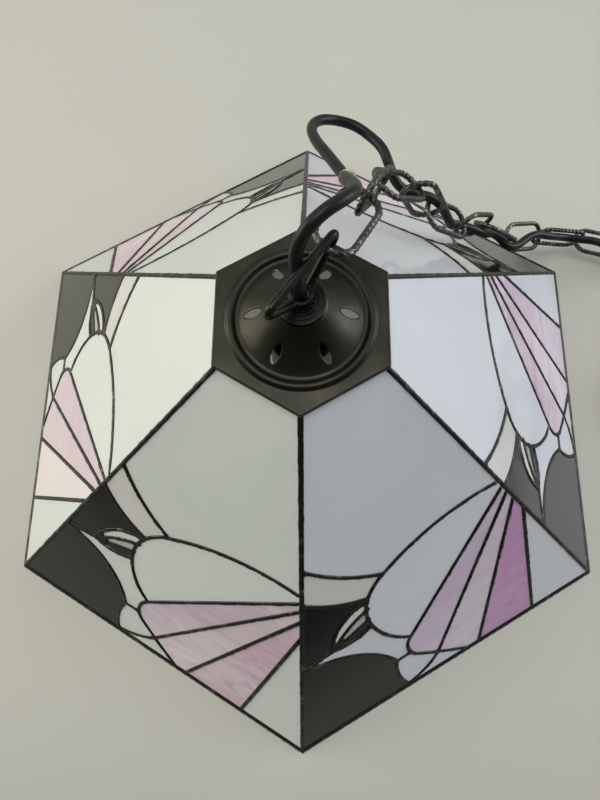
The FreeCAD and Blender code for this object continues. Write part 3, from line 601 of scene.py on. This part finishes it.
def makeFloor(s):
    deselectAll()
    bpy.ops.mesh.primitive_plane_add(size=s["floorSize"], location=(0, 0, 0))
    floor = newPiece("floor")
    material, tree, shader = startMaterial("paleFloor", Roughness=s["floorRoughness"])
    low, high = s["cloudRange"]
    clouds = useGroup(tree, surfaceWear, Patch_Scale=s["cloudScale"], Low=low, High=high)
    clouded = tuple(a * b for a, b in zip(s["floorColour"], s["floorCloud"]))
    colour = mixColours(tree, clouds.outputs["Mask"], s["floorColour"], clouded)
    # the floor falls into shade in front of the lamp
    split = addNode(tree, "ShaderNodeSeparateXYZ", in_Vector=objectPlace(tree))
    near = softStep(tree, split.outputs["Y"], s["shadeFrom"], s["shadeTo"])
    feed(tree, shader.inputs["Base Color"], mixColours(tree, near, s["shadeColour"], colour))
    floor.data.materials.append(material)


def makeSky(s):
    # a soft room: dark in front, pale behind, warmer on the left than on the right
    world = bpy.data.worlds.new("softRoom")
    world.use_nodes = True
    tree = world.node_tree
    sky = tree.nodes["Background"]
    coords = tree.nodes.new("ShaderNodeTexCoord")
    split = addNode(tree, "ShaderNodeSeparateXYZ", in_Vector=coords.outputs["Generated"])
    depth = softStep(tree, split.outputs["Y"], *s["frontToBack"])
    side = softStep(tree, split.outputs["X"], *s["leftToRight"])
    product = addNode(tree, "ShaderNodeVectorMath", operation="MULTIPLY")
    feed(tree, product.inputs[0], mixColours(tree, depth, s["frontColour"], s["backColour"]))
    feed(tree, product.inputs[1], mixColours(tree, side, s["leftTint"], s["rightTint"]))
    feed(tree, sky.inputs["Color"], product.outputs[0])
    sky.inputs["Strength"].default_value = s["skyStrength"]
    scene.world = world


def makeLights(rows):
    for name, place, size, power, colour in rows:
        data = bpy.data.lights.new(name, "AREA")
        data.shape = "DISK"
        data.size = size
        data.energy = power
        data.color = colour
        light = bpy.data.objects.new(name, data)
        light.location = place
        light.rotation_euler = (-Vector(place)).to_track_quat("-Z", "Y").to_euler()
        scene.collection.objects.link(light)


makeFloor(stageSettings)
makeSky(stageSettings)
makeLights(lightSettings)
scene.view_settings.view_transform = "Standard"
print("stage and lights made")


flexSettings = {
    "diameter": 0.007,
    "coilCentre": (335.0, 15.0),
    "outerTurn": 40.5,
    "innerTurn": 33.5,
    "lowLevel": 4.5,
    "highLevel": 11.5,
    "inwards": (285, 350),
    "outwards": (800, 865),
    "upwards": (580, 640),
    "coilDegrees": 1080.0,
    "pointsPerTurn": 16,
    "order": 3,
    "resolution": 8,
    "roundness": 5,
}
flexRoute = [
    (0, 0, 241.5), (0, 0, 251), (-2, 4, 261), (-2, 10, 271), (3, 16, 280), (12, 23, 284), (22, 31, 282),
    (28, 42, 273), (22, 61, 255), (24, 72, 240), (27, 84, 220), (15, 112, 208), (7, 131, 198), (4, 149, 189),
    (11, 160, 183), (23, 165, 176), (36, 163, 173), (47, 154, 172), (54, 143, 175), (58, 132, 173),
    (63, 123, 165), (73, 120, 157), (96, 120, 151), (112, 116, 121), (116, 128, 106), (134, 134, 91),
    (150, 133, 81), (163, 142, 69), (183, 135, 50), (206, 156, 45), (223, 157, 38), (240, 162, 28),
    (257, 160, 27), (270, 159, 27), (289, 148, 30), (306, 144, 15), (318, 135, 8.5), (333, 126, 4.6),
    (351, 113, 3.6), (366, 94, 3.6), (373, 69, 3.8), (375.5, 41, 4.2), (375.5, 15, 4.5),
]
flexTail = [(375.5, 15, 11.5), (375.5, -12, 11.5), (375, -29, 8.5), (373.5, -45, 5.2), (369.5, -60, 4.4)]


def ease(value, start, end):
    t = min(max((value - start) / (end - start), 0.0), 1.0)
    return t * t * (3 - 2 * t)


def coilPoints(s):
    # one lower turn, a turn inside it that climbs, and a turn that comes out on top
    points = []
    step = 360.0 / s["pointsPerTurn"]
    widen = 1 / (0.75 + 0.25 * math.cos(math.radians(step)))  # the smooth line runs inside its points
    for k in range(1, int(s["coilDegrees"] / step)):
        a = k * step
        inside = ease(a, *s["inwards"]) - ease(a, *s["outwards"])
        radius = s["outerTurn"] + (s["innerTurn"] - s["outerTurn"]) * inside
        level = s["lowLevel"] + (s["highLevel"] - s["lowLevel"]) * ease(a, *s["upwards"])
        turn = math.radians(-a)
        x = s["coilCentre"][0] + radius * widen * math.cos(turn)
        y = s["coilCentre"][1] + radius * widen * math.sin(turn)
        points.append((x, y, level))
    return points


def makeFlex(points, s):
    cord = newCurve("flex", "NURBS", [(x * mm, y * mm, z * mm) for x, y, z in points])
    cord.data.splines[0].order_u = s["order"]
    cord.data.splines[0].use_endpoint_u = True
    cord.data.resolution_u = s["resolution"]
    cord.data.bevel_depth = s["diameter"] / 2
    cord.data.bevel_resolution = s["roundness"]
    cord.data.use_fill_caps = True
    return cord


def cordLine(cord):
    # the points of the cord's own smooth line
    depth = cord.data.bevel_depth
    cord.data.bevel_depth = 0.0
    bpy.context.view_layer.update()
    line = bpy.data.meshes.new_from_object(cord.evaluated_get(bpy.context.evaluated_depsgraph_get()))
    points = [v.co.copy() for v in line.vertices]
    cord.data.bevel_depth = depth
    return points


flex = makeFlex(flexRoute + coilPoints(flexSettings) + flexTail, flexSettings)
flexLine = cordLine(flex)
finishPiece(flex, "lamp", "flexBlackSkin", "flex_black", "pendant_flex", "flex_coil", "flex_tail")
print("flex length", round(sum((b - a).length for a, b in zip(flexLine, flexLine[1:])), 4))

chainSettings = {
    "links": 14,
    "wire": 4.5,
    "width": 27.0,
    "pitch": 45.0,
    "clearance": 0.5,
    "barHalf": 2.36,
    "quarterTurns": 32,
    "stepsPerQuarter": 6,
    "bowSteps": 24,
    "edge": 0.7,
    "edgeSteps": 2,
    "stepReach": 0.00002,
    "endReach": 0.0004,
    "sharpAbove": 50,
}


def twistedBar(s, length):
    # a square bar along X with rounded corners, twisted all along
    steps = s["quarterTurns"] * s["stepsPerQuarter"]
    deselectAll()
    bpy.ops.mesh.primitive_circle_add(vertices=4, radius=s["barHalf"] * mm, fill_type="NOTHING")
    bar = newPiece("twistedLink")
    editAll(bar)
    bpy.ops.mesh.bevel(offset=s["edge"] * mm, segments=s["edgeSteps"], affect="VERTICES")
    bpy.ops.transform.rotate(value=math.pi / 2, orient_axis="Y", center_override=(0, 0, 0))
    bpy.ops.mesh.extrude_region_move(TRANSFORM_OT_translate={"value": (length / steps, 0, 0)})
    bpy.ops.object.mode_set(mode="OBJECT")
    array = bar.modifiers.new("lengthen", "ARRAY")
    array.count = steps
    array.relative_offset_displace = (1, 0, 0)
    array.use_merge_vertices = True
    array.merge_threshold = s["stepReach"]
    twist = bar.modifiers.new("twist", "SIMPLE_DEFORM")
    twist.deform_method = "TWIST"
    twist.deform_axis = "X"
    twist.angle = s["quarterTurns"] * math.pi / 2
    applyModifiers(bar)
    return bar


def makeTwistedLink(s):
    # the twisted bar, closed round the link's centre line
    bowR = (s["width"] - s["wire"]) / 2
    half = (s["pitch"] + s["wire"] + s["clearance"]) / 2 - bowR
    bar = twistedBar(s, (4 * half + 2 * math.pi * bowR) * mm)
    path = []
    for side in (1, -1):
        for k in range(s["bowSteps"] + 1):
            a = math.pi * (k / s["bowSteps"] - 0.5)
            path.append((side * (half + bowR * math.cos(a)) * mm, side * bowR * math.sin(a) * mm, 0))
    guide = newCurve("linkLine", "POLY", path)
    guide.data.splines[0].use_cyclic_u = True
    follow = bar.modifiers.new("follow", "CURVE")
    follow.object = guide
    applyModifiers(bar)
    bpy.data.objects.remove(guide)
    closePiece(bar, s["endReach"], s["sharpAbove"])
    return bar


def nodeFrame(node):
    # the long, wide and thin directions of a link's own mesh, and its middle
    mesh = nodes[node].data
    points = np.empty(len(mesh.vertices) * 3)
    mesh.vertices.foreach_get("co", points)
    points = points.reshape(-1, 3)
    spread = np.linalg.eigh(np.cov((points - points.mean(0)).T))[1][:, ::-1]
    if np.linalg.det(spread) < 0:
        spread[:, 2] *= -1
    local = points @ spread
    middle = spread @ ((local.min(0) + local.max(0)) / 2)
    turn = Matrix([list(row) for row in spread]).to_4x4()
    return Matrix.Translation(Vector(middle)) @ turn


linkShape = makeTwistedLink(chainSettings)
for k in range(1, chainSettings["links"] + 1):
    node = "chain_link_%02d" % k
    ring = bpy.data.objects.new("twistedLink%02d" % k, linkShape.data.copy())
    scene.collection.objects.link(ring)
    ring.data.transform(nodeFrame(node))
    body = node + "_body" if node + "_body" in frame["bodies"] else "lamp"
    finishPiece(ring, body, "chainDarkSteel", "chain_steel", node)
bpy.data.objects.remove(linkShape)
print("chain made")


def wornBody(piece, s, direction="NORMAL"):
    # rounds a piece's edges and gives it waves, each a size and a depth in metres
    remesh = piece.modifiers.new("oneBody", "REMESH")
    remesh.mode = "VOXEL"
    remesh.voxel_size = s["voxel"] * mm
    smooth = piece.modifiers.new("rounded", "SMOOTH")
    smooth.iterations = s["smoothing"]
    for size, depth in s["waves"]:
        name = "waves%d" % round(size * 100000)
        texture = bpy.data.textures.get(name) or bpy.data.textures.new(name, "CLOUDS")
        texture.noise_scale = size
        push = piece.modifiers.new(name, "DISPLACE")
        push.texture = texture
        push.texture_coords = "GLOBAL"
        push.direction = direction
        push.strength = depth
    applyModifiers(piece)
    for polygon in piece.data.polygons:
        polygon.use_smooth = True


# each sixth of the leading is one body, with lumps and a finer ripple
leadSettings = {"voxel": 0.85, "smoothing": 4, "waves": ((0.0065, 0.0007), (0.0022, 0.00025))}
rimSettings = {"voxel": 0.85, "smoothing": 4, "waves": ((0.0065, 0.0002), (0.0022, 0.0001))}
# a node, and the turn in degrees that brings the middles of its solids to whole sixths
leadNodes = (("panel_seams", 60), ("ridge_seams", 90), ("crown_band", 60))


def joinPieces(first, *others):
    deselectAll()
    for piece in (first, *others):
        piece.select_set(True)
    bpy.context.view_layer.objects.active = first
    bpy.ops.object.join()
    return first


def splitSolids(node):
    # a merged copy of a node, taken apart into its loose solids
    copyNode(node, node + "Part")
    bpy.ops.object.mode_set(mode="EDIT")
    bpy.ops.mesh.separate(type="LOOSE")
    bpy.ops.object.mode_set(mode="OBJECT")
    return list(bpy.context.selected_objects)


def sixthOf(obj, shift):
    middle = sum((Vector(c) for c in obj.bound_box), Vector()) / 8
    return round((math.degrees(math.atan2(middle.y, middle.x)) + shift) / 60) % 6


sixths = {k: [] for k in range(6)}
for node, shift in leadNodes:
    for solid in splitSolids(node):
        sixths[sixthOf(solid, shift)].append(solid)
for k, solids in sixths.items():
    lead = joinPieces(*solids)
    lead.name = "leading%d" % k
    lead.data.name = lead.name
    wornBody(lead, leadSettings)
    finishPiece(lead, "lamp", "blackPatinaSolder", "solder", *(node for node, _ in leadNodes))
    print(lead.name, len(lead.data.polygons), "faces")
rimLead = copyNode("rim_came", "rimLeading")
wornBody(rimLead, rimSettings)
finishPiece(rimLead, "lamp", "blackPatinaSolder", "solder", "rim_came")
print("leading made")

capSettings = {"voxel": 0.55, "smoothing": 9, "waves": ((0.040, 0.0009),)}
cap = copyNode("vase_cap", "dishedCap")
wornBody(cap, capSettings, "Z")
finishPiece(cap, "lamp", "capDarkBronze", "antique_bronze", "vase_cap")

checkSettings = {
    "base": 235.0,
    "sides": 72,
    "sharpAbove": 30,
    # radius and height: up the ring's side, over two grooves in its top, down its bore and back under it
    "profile": (
        (14, 0), (14, 2.0), (13.5, 2.5), (12.5, 2.5), (12.1, 2.0), (11.3, 2.0), (10.9, 2.5), (9.9, 2.5),
        (9.5, 2.0), (8.9, 2.0), (8.5, 2.5), (5.25, 2.5), (5.25, 0), (14, 0),
    ),
}


def turnedPiece(name, s):
    deselectAll()
    profile = s["profile"]
    r, z = profile[0]
    bpy.ops.mesh.primitive_circle_add(vertices=s["sides"], radius=r * mm, location=(0, 0, (s["base"] + z) * mm))
    piece = newPiece(name)
    bpy.ops.object.transform_apply(location=True)
    editAll(piece)
    for (r0, z0), (r1, z1) in zip(profile, profile[1:]):
        bpy.ops.mesh.extrude_region_move(TRANSFORM_OT_translate={"value": (0, 0, (z1 - z0) * mm)})
        bpy.ops.transform.resize(value=(r1 / r0, r1 / r0, 1), center_override=(0, 0, 0))
    closePiece(piece, touching, s["sharpAbove"])
    return piece


checkRing = turnedPiece("groovedCheckRing", checkSettings)
finishPiece(checkRing, "lamp", "loopDarkBronze", "antique_bronze", "check_ring")
loopSettings = {"voxel": 0.4, "smoothing": 3, "waves": ((0.012, 0.0003),)}
loop = copyNode("hanging_loop", "wireLoop")
wornBody(loop, loopSettings)
finishPiece(loop, "lamp", "loopDarkBronze", "antique_bronze", "hanging_loop")
print("cap, check ring and loop made")

tapeSettings = {
    "radius": 4.7,
    "roundness": 8,
    "reach": 0.0065,
    "voxel": 0.35,
    "smoothing": 1,
    "waves": ((0.0050, 0.0030), (0.0018, 0.0006)),
}


def makeTape(s):
    # a crumpled sleeve along the flex, where the plain wrap of tape sits
    low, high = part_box("tape_wrap")
    middle = (Vector(low) + Vector(high)) / 2
    near = [p for p in flexLine if (p - middle).length < s["reach"]]
    sleeve = newCurve("crumpledTape", "POLY", near)
    sleeve.data.bevel_depth = s["radius"] * mm
    sleeve.data.bevel_resolution = s["roundness"]
    sleeve.data.use_fill_caps = True
    pick(sleeve)
    bpy.ops.object.convert(target="MESH")
    sleeve = newPiece("crumpledTape")
    wornBody(sleeve, s)
    return sleeve


tape = makeTape(tapeSettings)
finishPiece(tape, "lamp", "agedClearTape", "tape", "tape_wrap")
print("tape made", len(tape.data.polygons))
